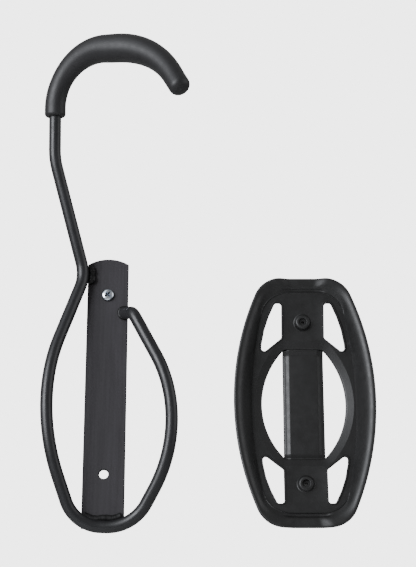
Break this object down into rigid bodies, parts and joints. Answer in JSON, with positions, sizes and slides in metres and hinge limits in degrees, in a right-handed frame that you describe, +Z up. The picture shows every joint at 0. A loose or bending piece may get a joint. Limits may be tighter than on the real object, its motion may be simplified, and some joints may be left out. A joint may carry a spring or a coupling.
{
  "type": "bicycle wall rack",
  "caption": "Wall rack for hanging a bicycle upright: a bent steel rod hook with a soft sleeve, welded to a screwed-on strip, and a separate moulded tray for the lower tyre.",
  "frame": {"origin": "centre of the strip's lower screw hole, on the wall", "axes": "the wall is the plane Y = 0 and the rack stands out of it towards -Y, +X to the right when facing the wall, +Z up along the strip"},
  "size_m": [0.2544, 0.155, 0.3753],
  "materials": {
    "plate": "satin charcoal powder coat",
    "rod": "satin black powder coat",
    "sleeve": "soft satin moulded",
    "weld": "rippled bead under powder coat",
    "screw": "bright zinc",
    "tray": "satin moulded"
  },
  "bodies": {
    "root": {"back_plate": "plate", "hook_rod": "rod", "hook_sleeve": "sleeve", "upper_weld": "weld", "side_weld": "weld", "bottom_weld": "weld", "plate_screw": "screw", "tyre_tray": "tray"}
  },
  "joints": []
}
